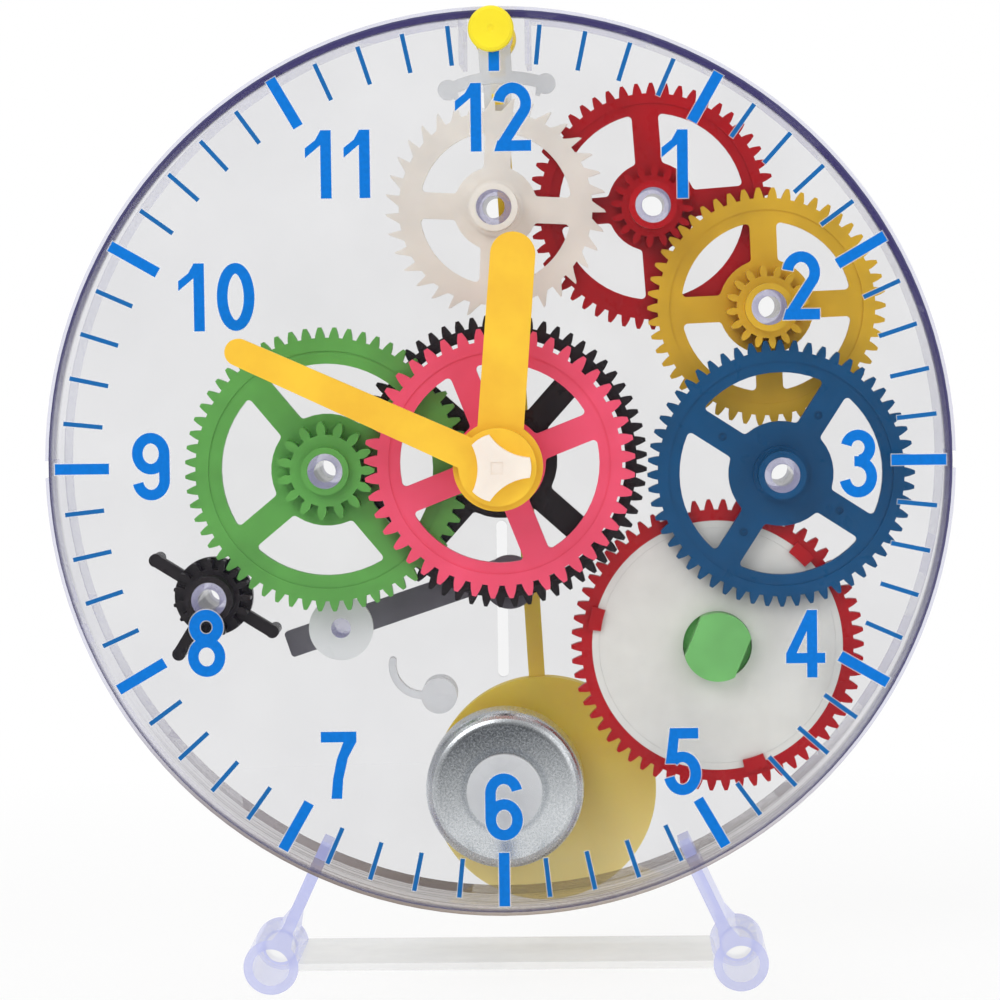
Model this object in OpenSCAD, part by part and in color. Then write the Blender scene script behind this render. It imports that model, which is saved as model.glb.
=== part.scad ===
// Geared teaching clock: clear round case on two ring feet, colour coded wheel train,
// anchor escapement with pendulum, and a quarter-hour bell struck by a falling hammer.
// Millimetres. X is right and Z is up as seen from the front, the front faces -Y.
// The origin is the centre of the base. Depths "s" run back from the dial's front face.

/* [Case] */
// Room between the barrel's teeth and the rim wall, which sets the size of the case
case_gap = 1.75; // [1.4:0.05:4]
// Thickness of the front and the rear plate
plate_t = 2; // [1.5:0.1:2.5]
// Depth of the case over both plates
case_depth = 30; // [29.6:0.1:32]
// Thickness of the rim wall
rim_wall = 2; // [1.5:0.1:2.5]
// Thickness of the rim's lip around the front plate
lip_t = 0.7; // [0.5:0.05:1]
// Half width of the open channel at the top of the rim
channel_half = 6.6; // [6.2:0.1:7.4]
// Length of the channel walls, down from the rim
channel_len = 12.3; // [8:0.1:12.4]
// Length of the snap notches in the rim at three and nine o'clock
notch_w = 3.7; // [2:0.1:6]

/* [Stand] */
// Length of a leg, from the rim to the centre of its foot ring
leg_len = 22.5; // [18:0.5:28]
// Angle of each leg from the vertical
leg_angle = 25.1; // [20:0.1:30]
// Outer radius of a foot ring
foot_r = 6; // [5.5:0.1:7]
// Radius of the hole through a foot ring
foot_bore_r = 4; // [3.4:0.05:4.4]
// Thickness of a leg
leg_t = 2.6; // [2:0.1:3.4]
// Depth of the legs, front to back
leg_depth = 28; // [20:0.5:28]
// Thickness of the cross bar between the feet
bar_t = 1.6; // [1.2:0.1:2.4]

/* [Train] */
// Module of the going train's teeth
train_m = 1; // [0.98:0.01:1.01]
// Extra centre distance that gives meshed teeth their play
mesh_play = 0.25; // [0.2:0.05:0.35]
// Thinning of each tooth flank
flank_play = 0.04; // [0.02:0.01:0.08]
// Thickness of a toothed rim
wheel_t = 2.5; // [2:0.1:2.6]
// Height of the toothed band over the spokes, on each face
band_step = 0.3; // [0.1:0.05:0.5]
// Thickness of the rim under the motion wheel's teeth
motion_rim = 5.65; // [3:0.05:7]
// Thickness of the rim under the second wheel's teeth
second_rim = 4.75; // [3:0.05:7]
// Thickness of the rim under the third wheel's teeth
third_rim = 5.15; // [3:0.05:7]
// Thickness of the rim under the fourth wheel's teeth
fourth_rim = 4.35; // [3:0.05:7]
// Thickness of the rim under the hour wheel's teeth
hour_rim = 4.95; // [3:0.05:7]
// Thickness of the rim under the minute wheel's teeth
minute_rim = 2.45; // [2:0.05:5]
// Thickness of the rim under the escape wheel's teeth
escape_rim = 4.5; // [3:0.05:6]
// Width of the spokes
spoke_w = 5.8; // [4:0.1:6.4]
// Radius in the corners of the openings between spokes
window_corner = 0.9; // [0.4:0.1:1.6]
// Escape wheel radius over the tips
escape_r = 24.2; // [23.6:0.1:24.4]
// Depth of the escape wheel's teeth
escape_tooth = 3; // [2:0.1:3.4]

/* [Arbors] */
// Radius of the posts that carry the wheels
post_r = 3.8; // [3.4:0.05:3.9]
// Radius of the hollow in a wheel post
post_bore_r = 2.4; // [2:0.05:2.6]
// Radius of the centre post under the hands
centre_r = 2; // [1.6:0.05:2.1]
// Radius of the minute tube
minute_tube_r = 3.2; // [3:0.05:3.3]
// Radius of the hour tube
hour_tube_r = 4.6; // [4.4:0.05:4.9]
// Wall of a wheel's hub around its post
hub_wall = 1.3; // [1:0.05:1.4]
// Radius of the winding arbor
arbor_r = 7.5; // [6.8:0.1:7.8]
// Radius of the pendulum's pivot pin
pivot_r = 1.6; // [1.2:0.05:1.8]

/* [Hands] */
// Length of the hour hand from the centre to its tip
hour_len = 50; // [40:1:56]
// Width of the hour hand
hour_w = 9.9; // [7:0.1:11]
// Length of the minute hand from the centre to its tip
minute_len = 63; // [58:1:80]
// Width of the minute hand at its boss
minute_w = 7.1; // [5:0.1:8]
// Thickness of a hand
hand_t = 2; // [1.4:0.1:2.2]
// Hour hand's angle, clockwise from twelve
hour_angle = 4.7; // [0:0.1:360]
// Minute hand's angle, clockwise from twelve
minute_angle = 294.6; // [0:0.1:360]

/* [Pendulum] */
// Radius of the yellow cap on the pendulum's pivot
head_r = 4.9; // [4.6:0.1:5.2]
// Room under the hanging bob, down to the cross bar
bob_room = 8.2; // [7:0.2:20]
// Radius of the bob
bob_r = 25.2; // [20:0.2:26]
// Thickness of the bob
bob_t = 4.6; // [4.2:0.1:5]
// Width of the pendulum rod
rod_w = 3.6; // [3:0.1:4.4]
// Thickness of the pendulum rod
rod_t = 2; // [1.6:0.1:2.2]
// Angle of the hanging pendulum, its bob to the right
rest_tilt = 3; // [2:0.1:4]

/* [Barrel] */
// Thickness of the toothed ring around the spring drum, under its teeth
ring_wall = 2.35; // [1.9:0.05:3]
// Wall of the spring drum
drum_wall = 1.5; // [1:0.1:2]
// Thickness of the ratchet wheel and its click
ratchet_t = 2.9; // [2:0.1:4]
// Thickness of the mainspring's strip
spring_t = 0.35; // [0.25:0.05:0.5]
// Turns of the mainspring
spring_turns = 7; // [5:1:9]
// Distance between the flats of the winding arbor's front end
arbor_flats = 11.8; // [9:0.1:12.6]

/* [Bell and hammer] */
// Outer radius of the bell
bell_r = 17.4; // [15:0.1:17.6]
// Gap between the bell and the rim wall
bell_gap = 6.3; // [6:0.1:9]
// Depth of the bell
bell_depth = 12; // [10:0.2:13]
// Wall of the bell
bell_wall = 1.2; // [0.8:0.1:1.6]
// Half width of the hammer lever
lever_half = 2.95; // [2:0.05:3]
// Radius of the hammer's striking weight
striker_r = 5.9; // [5:0.1:6]
// Radius of the pegs on the strike star's arms
peg_r = 1.3; // [1:0.05:1.35]

/* [Clearances] */
// Radial running clearance of a shaft in its hole
run_gap = 0.05; // [0.02:0.01:0.09]
// Radial gap between pieces that are pushed together
push_gap = 0.02; // [0.01:0.01:0.04]
// End play between a turning piece and its neighbour
end_gap = 0.3; // [0.2:0.05:0.4]

/* [Hidden] */
$fn = 72;

// Tooth counts
barrel_teeth = 62;
minute_teeth = 62;
cannon_teeth = 15;
motion_teeth = 60;
motion_leaves = 15;
hour_teeth = 45;
star_leaves = 15;
second_teeth = 56;
second_leaves = 18;
third_teeth = 50;
third_leaves = 16;
fourth_teeth = 52;
fourth_leaves = 16;
escape_leaves = 16;
escape_teeth = 35;
ratchet_teeth = 24;
pressure = 20;

// How far shapes of one piece run into each other where they join
sink = 0.5;

// The hour pair shares the motion wheel's centre distance, so its module follows
hour_m = train_m * (motion_teeth + cannon_teeth) / (hour_teeth + motion_leaves);

// Depths of the five levels of the train, from the dial's front face
level_step = 4;
level_a = plate_t + 2.5;
level_b = level_a + level_step;
level_c = level_b + level_step;
level_d = level_c + level_step - 0.5;
level_e = level_d + level_step - 0.5;
rear_s = case_depth - plate_t;
hub_front = plate_t + end_gap;
hub_back = rear_s - end_gap;
post_hub_r = post_r + run_gap + hub_wall;
hub_ring = 0.9;

// Hands stack, forward of the dial
hour_s = -6.4;
hands_step = hand_t + 1.8;
minute_s = hour_s - hands_step;
cap_t = 3.1;
cap_front = minute_s - hand_t - cap_t;

// Rear stack, behind the rear plate
bob_s = case_depth + 1.5;
rod_s = bob_s + (bob_t - rod_t) / 2;
key_s = bob_s + bob_t + 1;
ear_r = 7.5;
ear_out = 11;
ear_t = 3;
ear_s = key_s + 6.2;
key_back = ear_s + ear_r;
mid_s = (cap_front + key_back) / 2;

function polar(r, a) = [r * cos(a), r * sin(a)];
function gear_r(z, m) = m * z / 2;
function mesh_dist(z1, z2, m) = m * (z1 + z2) / 2 + mesh_play;

// Places of the arbors, as seen from the front, from the dial's centre
barrel_dir = -41.04;
second_dir = 69.6;
third_dir = 94;
fourth_dir = 138;
escape_dir = 180;
motion_dir = 181.8;
star_dir = 227.2;
barrel_at = polar(mesh_dist(barrel_teeth, minute_teeth, train_m), barrel_dir);
second_at = barrel_at + polar(mesh_dist(barrel_teeth, second_leaves, train_m), second_dir);
third_at = second_at + polar(mesh_dist(second_teeth, third_leaves, train_m), third_dir);
fourth_at = third_at + polar(mesh_dist(third_teeth, fourth_leaves, train_m), fourth_dir);
escape_at = fourth_at + polar(mesh_dist(fourth_teeth, escape_leaves, train_m), escape_dir);
motion_at = polar(mesh_dist(motion_teeth, cannon_teeth, train_m), motion_dir);
star_at = motion_at + polar(mesh_dist(motion_teeth, star_leaves, train_m), star_dir);
lever_at = star_at + [27.58, -7.72];
stop_at = lever_at + [21.3, -15.6];

// The case goes round the barrel, and the rest of the frame follows the case
function root_r(z, m) = gear_r(z, m) - 1.25 * m;
dial_r = norm(barrel_at) + gear_r(barrel_teeth, train_m) + train_m + case_gap + rim_wall;
drum_r = root_r(barrel_teeth, train_m) - ring_wall;
pivot_at = [escape_at.x, dial_r - head_r];
bell_at = [0, -(dial_r - rim_wall - bell_gap - bell_r)];
foot_reach = dial_r + leg_len;
foot_x = foot_reach * sin(leg_angle);
foot_z = -foot_reach * cos(leg_angle);
axis_z = foot_r - foot_z;
bob_drop = pivot_at.y - foot_z - bar_t / 2 - bob_r - bob_room;

// Tooth phases: one tooth of the driver faces one gap of the driven wheel
function mesh_phase(phase, z1, z2, dir) =
    dir + 180 + (dir - phase) * z1 / z2 + 180 / z2;
barrel_phase = 0;
minute_phase = mesh_phase(barrel_phase, barrel_teeth, minute_teeth, barrel_dir + 180);
second_leaf_phase = mesh_phase(barrel_phase, barrel_teeth, second_leaves, second_dir);
second_phase = 0;
third_leaf_phase = mesh_phase(second_phase, second_teeth, third_leaves, third_dir);
third_phase = 0;
fourth_leaf_phase = mesh_phase(third_phase, third_teeth, fourth_leaves, fourth_dir);
fourth_phase = 0;
escape_leaf_phase = mesh_phase(fourth_phase, fourth_teeth, escape_leaves, escape_dir);
cannon_phase = 0;
motion_phase = mesh_phase(cannon_phase, cannon_teeth, motion_teeth, motion_dir);
star_phase = mesh_phase(motion_phase, motion_teeth, star_leaves, star_dir);
motion_leaf_phase = 0;
hour_phase = mesh_phase(motion_leaf_phase, motion_leaves, hour_teeth, motion_dir + 180);

// Colours
clear = [0.87, 0.87, 0.92, 0.35];
lavender = [0.75, 0.75, 0.91, 0.6];
frosted = [0.85, 0.86, 0.87, 0.7];
green = [0.33, 0.65, 0.3];
pink = [1, 0.35, 0.45];
black = [0.12, 0.1, 0.1];
blue = [0.08, 0.37, 0.57];
yellow = [0.88, 0.72, 0.22];
red = [0.73, 0.1, 0.14];
cream = [0.9, 0.87, 0.84];
hand_yellow = [1, 0.8, 0.27];
cap_yellow = [1, 0.9, 0.16];
key_green = [0.47, 0.78, 0.45];
steel = [0.75, 0.76, 0.78];
lever_grey = [0.31, 0.31, 0.32];

// ---- Placing ----

// A flat outline drawn as seen from the front, made solid from depth s1 back to s2
module slab(s1, s2) {
    translate([0, s2 - mid_s, axis_z])
        rotate([90, 0, 0])
            linear_extrude(s2 - s1) children();
}

module disc(at, r, s1, s2) {
    slab(s1, s2) translate(at) circle(r);
}

module tube(at, r, bore, s1, s2) {
    slab(s1, s2) translate(at) difference() {
        circle(r);
        circle(bore);
    }
}

// ---- Teeth ----

function inv(a) = tan(a) * 180 / PI - a;
function flank_angle(r, base) = r <= base ? 0 : acos(base / r);

// Half the angle that a tooth takes at radius r
function tooth_half(r, z, m) =
    let (base = gear_r(z, m) * cos(pressure))
        (90 / z - flank_play / gear_r(z, m) * 180 / PI)
        + inv(pressure) - inv(flank_angle(r, base));

// One tooth's outline, root to tip and back
function tooth_points(z, m, at) =
    let (
        pitch = gear_r(z, m),
        base = pitch * cos(pressure),
        root = pitch - 1.25 * m,
        tip = pitch + m,
        low = max(base, root + 0.3 * m),
        radii = [low, (low + tip) / 2, tip],
        foot = tooth_half(low, z, m) * (z < 20 ? 0.86 : 1)
    )
    concat(
        [polar(root, at - foot)],
        [for (r = radii) polar(r, at - tooth_half(r, z, m))],
        [for (i = [2:-1:0]) polar(radii[i], at + tooth_half(radii[i], z, m))],
        [polar(root, at + foot)]
    );

module teeth(z, m, phase) {
    polygon([for (i = [0:z - 1]) each tooth_points(z, m, phase + i * 360 / z)]);
}

// Saw teeth that lean clockwise, as seen from the front
module saw(n, root, tip, phase) {
    step = 360 / n;
    polygon([for (i = [0:n - 1]) let (a = phase + i * step) each [
        polar(root, a - 0.02 * step),
        polar(tip, a),
        polar(tip - 0.12 * (tip - root), a + 0.13 * step),
        polar(root + 0.3 * (tip - root), a + 0.42 * step),
        polar(root, a + 0.62 * step)
    ]]);
}

// Points along a circle between two angles
function arc_points(r, a1, a2, steps = 12) =
    [for (i = [0:steps]) polar(r, a1 + (a2 - a1) * i / steps)];

// Outline of one opening between two spokes at 0 and 90 degrees, with rounded corners
function window_points(rim_in, hub_r, spoke) =
    let (
        c = window_corner,
        edge = spoke / 2 + c,
        out_x = sqrt(pow(rim_in - c, 2) - edge * edge),
        in_x = sqrt(pow(hub_r + c, 2) - edge * edge),
        out_dir = atan2(edge, out_x),
        in_dir = atan2(edge, in_x)
    )
    concat(
        [for (p = arc_points(c, -90, out_dir, 4)) p + [out_x, edge]],
        arc_points(rim_in, out_dir, 90 - out_dir),
        [for (p = arc_points(c, 90 - out_dir, 180, 4)) p + [edge, out_x]],
        [for (p = arc_points(c, 180, 270 - in_dir, 4)) p + [edge, in_x]],
        arc_points(hub_r, 90 - in_dir, in_dir, 6),
        [for (p = arc_points(c, 180 + in_dir, 270, 4)) p + [in_x, edge]]
    );

// The four openings between a wheel's rim, spokes and hub
module windows(rim_in, hub_r, spoke_angle) {
    for (i = [0:3])
        rotate(spoke_angle + 90 * i) polygon(window_points(rim_in, hub_r, spoke_w));
}

// A spoked wheel: a full-height toothed band round a thinner web
module wheel(at, z, m, phase, s, rim_t, hub_r, spoke_angle, bore) {
    rim_in = root_r(z, m) - rim_t;
    band_in = root_r(z, m) - rim_t / 2;
    difference() {
        slab(s, s + wheel_t) translate(at) teeth(z, m, phase);
        for (face = [s - 1, s + wheel_t - band_step])
            slab(face, face + 1 + band_step) translate(at) circle(band_in);
        slab(s - 1, s + wheel_t + 1) translate(at) windows(rim_in, hub_r, spoke_angle);
        disc(at, bore, s - 1, s + wheel_t + 1);
    }
}

module pinion(at, z, m, phase, s1, s2, bore) {
    slab(s1, s2) translate(at) difference() {
        teeth(z, m, phase);
        circle(bore);
    }
}

// Hub tube that runs on a wheel post, from plate to plate
module post_hub(at) {
    tube(at, post_hub_r, post_r + run_gap, hub_front, hub_back);
}

// ---- Case ----

post_places = [second_at, third_at, fourth_at, escape_at, motion_at, star_at];
pin_len = 5;

module front_plate() {
    color(clear) {
        difference() {
            disc([0, 0], dial_r - lip_t - push_gap, 0, plate_t);
            disc([0, 0], hour_tube_r + run_gap, -1, plate_t + 1);
            disc(pivot_at, pivot_r + run_gap, -1, plate_t + 1);
        }
        for (at = post_places)
            disc(at, post_bore_r - run_gap, plate_t - sink, plate_t + pin_len);
    }
}

// Angle from the vertical at which the rim wall opens for the channel
channel_angle = asin((channel_half + rim_wall / 2) / dial_r);
tongue_w = 10;
tongue_s = (case_depth - tongue_w) / 2;
tongue_in = 4;

module case_rim() {
    color(lavender) difference() {
        union() {
            tube([0, 0], dial_r, dial_r - rim_wall, plate_t, rear_s);
            // Lip that the front plate drops into
            tube([0, 0], dial_r, dial_r - lip_t, 0, plate_t + sink);
            for (side = [-1, 1])
                slab(plate_t, rear_s) intersection() {
                    circle(dial_r);
                    translate([side * (channel_half + rim_wall / 4), dial_r - channel_len / 2])
                        square([rim_wall / 2, channel_len], center = true);
                }
        }
        slab(plate_t, rear_s + 1) translate([-channel_half, dial_r - 2 * rim_wall])
            square([2 * channel_half, 3 * rim_wall]);
        for (side = [-1, 1]) {
            slab(-1, plate_t + 6) translate([side * dial_r, 0])
                square([3 * rim_wall, notch_w], center = true);
            slab(tongue_s - run_gap, tongue_s + tongue_w + run_gap)
                rotate(side * leg_angle) translate([0, rim_wall - dial_r])
                    square([leg_t + 2 * run_gap, 4 * rim_wall], center = true);
        }
    }
}

spigot_r = post_r - 0.8;
crutch_drop = 14;
crutch_w = 2.4;
swing = 8;
arbor_bush = 1.6;

module rear_plate() {
    color(clear) {
        difference() {
            disc([0, 0], dial_r, rear_s, case_depth);
            for (at = post_places)
                disc(at, spigot_r + push_gap, rear_s - 1, case_depth + 1);
            disc([0, 0], centre_r + push_gap, rear_s - 1, case_depth + 1);
            disc(pivot_at, pivot_r + run_gap, rear_s - 1, case_depth + 1);
            disc(barrel_at, arbor_r + run_gap, rear_s - 1, case_depth + 1);
            // Arc slot for the crutch peg
            slab(rear_s - 1, case_depth + 1) translate(pivot_at) crutch_slot();
            // Stadium slot below the centre
            slab(rear_s - 1, case_depth + 1) for (z = [-15.2, -47.9])
                translate([-0.4, z]) circle(1.2);
            slab(rear_s - 1, case_depth + 1) translate([-1.6, -47.9]) square([2.4, 32.7]);
        }
        tube(barrel_at, arbor_r + run_gap + arbor_bush, arbor_r + run_gap,
            case_depth - sink, bob_s - end_gap);
    }
}

module crutch_slot() {
    reach = swing + atan((crutch_w / 2 + 0.5) / crutch_drop);
    wide = crutch_w + 1;
    difference() {
        circle(crutch_drop + wide / 2);
        circle(crutch_drop - wide / 2);
        rotate(-90 + reach) translate([-40, 0]) square([80, 40]);
        rotate(-90 - reach) translate([-40, -40]) square([80, 40]);
    }
}

module wheel_posts() {
    color(lavender) for (at = post_places) difference() {
        union() {
            disc(at, post_r, hub_front, rear_s);
            disc(at, spigot_r, rear_s - sink, case_depth);
        }
        disc(at, post_bore_r, hub_front - 1, case_depth + 1);
    }
}

module centre_post() {
    color(lavender) disc([0, 0], centre_r, minute_s + end_gap, case_depth);
}

// ---- Stand ----

foot_front = 1;
stud_len = 4.7;
stud_r = foot_bore_r - 0.6;
bar_disc_t = 1.5;
foot_back = bob_s - end_gap - bar_disc_t;

module leg(side) {
    color(lavender) {
        difference() {
            union() {
                disc([side * foot_x, foot_z], foot_r, foot_front, foot_back);
                slab(foot_front, foot_front + leg_depth) leg_arm(side);
            }
            disc([side * foot_x, foot_z], foot_bore_r, foot_front - 1, foot_back - stud_len);
            disc([side * foot_x, foot_z], stud_r + push_gap, foot_front, foot_back + 1);
        }
        slab(tongue_s, tongue_s + tongue_w) rotate(side * leg_angle)
            translate([-leg_t / 2, -dial_r - 1]) square([leg_t, 1 + rim_wall + tongue_in]);
    }
}

// Arm from just outside the rim down to the foot ring, flared where it meets the ring
module leg_arm(side) {
    rotate(side * leg_angle) {
        difference() {
            translate([-leg_t / 2, -foot_reach])
                square([leg_t, foot_reach - dial_r - push_gap]);
            circle(dial_r + push_gap);
        }
        polygon([
            [-leg_t / 2, -foot_reach + foot_r + 3],
            [leg_t / 2, -foot_reach + foot_r + 3],
            [leg_t / 2 + 1.2, -foot_reach + foot_r - 1],
            [-leg_t / 2 - 1.2, -foot_reach + foot_r - 1]
        ]);
    }
}

module left_leg() { leg(-1); }
module right_leg() { leg(1); }

module cross_bar() {
    color(clear) {
        difference() {
            slab(foot_front, foot_back + bar_disc_t) translate([-foot_x, foot_z - bar_t / 2])
                square([2 * foot_x, bar_t]);
            for (side = [-1, 1])
                disc([side * foot_x, foot_z], foot_r + push_gap, foot_front - 1, foot_back);
        }
        for (side = [-1, 1]) {
            disc([side * foot_x, foot_z], foot_r - 0.8, foot_back, foot_back + bar_disc_t);
            disc([side * foot_x, foot_z], stud_r, foot_back - stud_len, foot_back + sink);
        }
    }
}

// ---- Motion work ----

module minute_wheel() {
    bore = centre_r + run_gap;
    color(black) {
        wheel([0, 0], minute_teeth, train_m, minute_phase, level_c, minute_rim, 12.4, 48, bore);
        pinion([0, 0], cannon_teeth, train_m, cannon_phase, level_b - 0.2, level_c + band_step, bore);
        tube([0, 0], minute_tube_r, bore, minute_s - hand_t, level_b + sink);
        tube([0, 0], 5.2, bore, level_c + wheel_t - band_step, hub_back);
    }
}

module hour_wheel() {
    bore = minute_tube_r + run_gap;
    color(pink) {
        wheel([0, 0], hour_teeth, hour_m, hour_phase, level_a, hour_rim, 10, 21.4, bore);
        tube([0, 0], hour_tube_r, bore, hour_s - hand_t, level_a + band_step);
        tube([0, 0], 6.4, bore, plate_t + end_gap, level_a + band_step);
    }
}

module motion_wheel() {
    bore = post_r + run_gap;
    color(green) {
        wheel(motion_at, motion_teeth, train_m, motion_phase, level_b, motion_rim, 12.2, 39.5, bore);
        pinion(motion_at, motion_leaves, hour_m, motion_leaf_phase,
            level_a - 0.2, level_b + band_step, bore);
        post_hub(motion_at);
    }
}

star_angle = -32;
arm_reach = 15;

module strike_star() {
    bore = post_r + run_gap;
    color(black) {
        pinion(star_at, star_leaves, train_m, star_phase, level_b - 0.2, level_c + sink, bore);
        post_hub(star_at);
        slab(level_c, level_c + wheel_t) translate(star_at) difference() {
            union() {
                circle(8.6);
                for (i = [0:3]) rotate(star_angle + 90 * i) {
                    translate([0, -1.35]) square([arm_reach, 2.7]);
                    translate([arm_reach, 0]) circle(peg_r + 0.15);
                }
            }
            circle(bore);
        }
        for (i = [0:3])
            disc(star_at + polar(arm_reach, star_angle + 90 * i), peg_r,
                level_c + wheel_t - sink, level_e + wheel_t);
    }
}

// ---- Going train ----

module second_wheel() {
    bore = post_r + run_gap;
    spoke_dir = 57;
    color(blue) {
        difference() {
            wheel(second_at, second_teeth, train_m, second_phase, level_b, second_rim, 11.4,
                spoke_dir, bore);
            // Ring dimples on the spokes
            for (i = [0:3])
                tube(second_at + polar(15, spoke_dir + 90 * i), 0.9, 0.35,
                    level_b, level_b + band_step + 0.4);
        }
        pinion(second_at, second_leaves, train_m, second_leaf_phase,
            level_b + wheel_t - band_step, level_c + wheel_t + 0.2, bore);
        tube(second_at, post_hub_r + hub_ring, bore, level_b - 1.2, level_b + band_step + 0.1);
        post_hub(second_at);
    }
}

module third_wheel() {
    bore = post_r + run_gap;
    color(yellow) {
        wheel(third_at, third_teeth, train_m, third_phase, level_d, third_rim, 10.4, 2, bore);
        pinion(third_at, third_leaves, train_m, third_leaf_phase,
            level_b - 0.2, level_d + band_step, bore);
        post_hub(third_at);
    }
}

module fourth_wheel() {
    bore = post_r + run_gap;
    color(red) {
        wheel(fourth_at, fourth_teeth, train_m, fourth_phase, level_e, fourth_rim, 9.8, 4, bore);
        pinion(fourth_at, fourth_leaves, train_m, fourth_leaf_phase,
            level_d - 0.2, level_e + band_step, bore);
        post_hub(fourth_at);
    }
}

escape_phase = 7.4;

module escape_wheel() {
    bore = post_r + run_gap;
    color(cream) {
        slab(level_d, level_d + wheel_t) translate(escape_at) difference() {
            saw(escape_teeth, escape_r - escape_tooth, escape_r, escape_phase);
            windows(escape_r - escape_tooth - escape_rim, 9.2, -3);
            circle(bore);
        }
        pinion(escape_at, escape_leaves, train_m, escape_leaf_phase,
            level_d + wheel_t - sink, level_e + wheel_t + 0.2, bore);
        tube(escape_at, post_hub_r + hub_ring, bore, level_d - 1.2, level_d + sink);
        post_hub(escape_at);
    }
}

// ---- Barrel ----

clip_w = 5;
clip_dir = 47;
drum_back = rear_s - ratchet_t - 2 * end_gap;

module barrel_gear() {
    color(red) {
        slab(level_c, level_c + wheel_t) translate(barrel_at) difference() {
            teeth(barrel_teeth, train_m, barrel_phase);
            circle(drum_r + push_gap);
        }
        // Clips that reach in over the drum's front edge
        for (i = [0:2]) {
            turn = clip_dir + 120 * i;
            slab(level_c - 1, level_c) translate(barrel_at) rotate(turn)
                clip_outline(drum_r - 1.7, drum_r + 1.2);
            slab(level_c - 1, level_c + sink) translate(barrel_at) rotate(turn)
                clip_outline(drum_r + 2 * push_gap + 0.2, drum_r + 1.2);
        }
    }
}

module clip_outline(r1, r2) {
    half = clip_w / drum_r * 90 / PI;
    polygon(concat(arc_points(r1, -half, half), arc_points(r2, half, -half)));
}

module barrel_drum() {
    color(cream) difference() {
        disc(barrel_at, drum_r, level_c, drum_back);
        disc(barrel_at, drum_r - drum_wall, level_c - 1, drum_back - drum_wall);
        disc(barrel_at, arbor_r + run_gap, level_c, drum_back + 1);
    }
}

module drum_cover() {
    color(cream) tube(barrel_at, drum_r - drum_wall - push_gap, arbor_r + run_gap,
        level_c, level_c + drum_wall);
}

// The mainspring's strip as one unbroken spiral, drawn at its half-run winding
spring_in = arbor_r + 0.7;
spring_out = drum_r - drum_wall - push_gap - spring_t / 2;
spring_step = 12;
spring_pitch = (spring_out - spring_in) / spring_turns;
function spring_r(a) = spring_in + spring_pitch * a / 360;
spring_angles = [for (a = [0:spring_step:360 * spring_turns]) a];
spring_inner = [for (a = spring_angles) polar(spring_r(a) - spring_t / 2, a)];
spring_outer = [for (a = spring_angles) polar(spring_r(a) + spring_t / 2, a)];
turn_steps = 360 / spring_step;
spring_gap = min([for (i = [0:len(spring_angles) - 1 - turn_steps])
    norm(spring_inner[i + turn_steps] - spring_outer[i])]);
echo(spring_gap = spring_gap);

module mainspring() {
    color(steel) slab(level_c + drum_wall + 0.4, drum_back - drum_wall - 0.4)
        translate(barrel_at) polygon(concat(
            spring_inner,
            [for (i = [len(spring_outer) - 1:-1:0]) spring_outer[i]]
        ));
}

square_half = 4.6;
flat_angle = -23;

module winding_arbor() {
    color(key_green) {
        // Flatted front end
        slab(level_b - 0.5, level_c + drum_wall + sink) translate(barrel_at) intersection() {
            circle(arbor_r);
            rotate(flat_angle) square([arbor_flats, 4 * arbor_r], center = true);
        }
        disc(barrel_at, arbor_r, level_c + drum_wall, case_depth + 3);
        // Square for the key
        slab(case_depth + 3 - sink, key_s + 6) translate(barrel_at)
            square(2 * square_half, center = true);
    }
}

module winding_key() {
    color(key_green) difference() {
        union() {
            disc(barrel_at, 8.4, key_s, key_s + 8);
            // Two ears to turn it by, in a plate that stands square to the case
            translate([barrel_at.x, -mid_s, axis_z + barrel_at.y]) rotate([0, -30, 0])
                translate([0, 0, -ear_t / 2]) linear_extrude(ear_t) {
                    for (side = [-1, 1])
                        translate([side * ear_out, ear_s]) circle(ear_r);
                    translate([-ear_out, ear_s - 5]) square([2 * ear_out, 10]);
                }
        }
        slab(key_s - 1, key_s + 6.3) translate(barrel_at)
            square(2 * (square_half + push_gap), center = true);
    }
}

ratchet_r = 12;
ratchet_s = drum_back + end_gap;
ratchet_phase = -45;
click_at = barrel_at + polar(19, -86);

module ratchet_wheel() {
    color(key_green) slab(ratchet_s, ratchet_s + ratchet_t) translate(barrel_at) difference() {
        saw(ratchet_teeth, ratchet_r - 1.7, ratchet_r, ratchet_phase);
        circle(arbor_r + push_gap);
    }
}

click_post_r = 1.8;

click_hub_r = 3.6;

module click() {
    color(key_green) slab(ratchet_s, ratchet_s + ratchet_t) difference() {
        union() {
            translate(click_at) circle(click_hub_r);
            // Tapered arm that bears on the steep side of a ratchet tooth
            polygon([
                barrel_at + polar(ratchet_r - 1.1, ratchet_phase - 2),
                click_at + [1, -0.5],
                click_at + polar(click_hub_r, -10),
                barrel_at + polar(ratchet_r + 1.4, ratchet_phase - 2)
            ]);
        }
        translate(click_at) circle(click_post_r + run_gap);
    }
}

module click_post() {
    color(clear) {
        disc(click_at, click_post_r, drum_back + 0.4, rear_s);
    }
}

// ---- Escapement and pendulum ----

pallet_span = 3.89;
pallet_gap = 1.3;
pallet_w = 0.9;
anchor_hub_r = 4;
shoulder_r = 2.2;
stem_w = 7;
wheel_drop = pivot_at.y - escape_at.y;
pallet_angle = pallet_span * 180 / escape_teeth;

// A curved band between two radii and two angles
module arc_band(r1, r2, a1, a2) {
    polygon(concat(arc_points(r1, a1, a2), arc_points(r2, a2, a1)));
}

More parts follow.
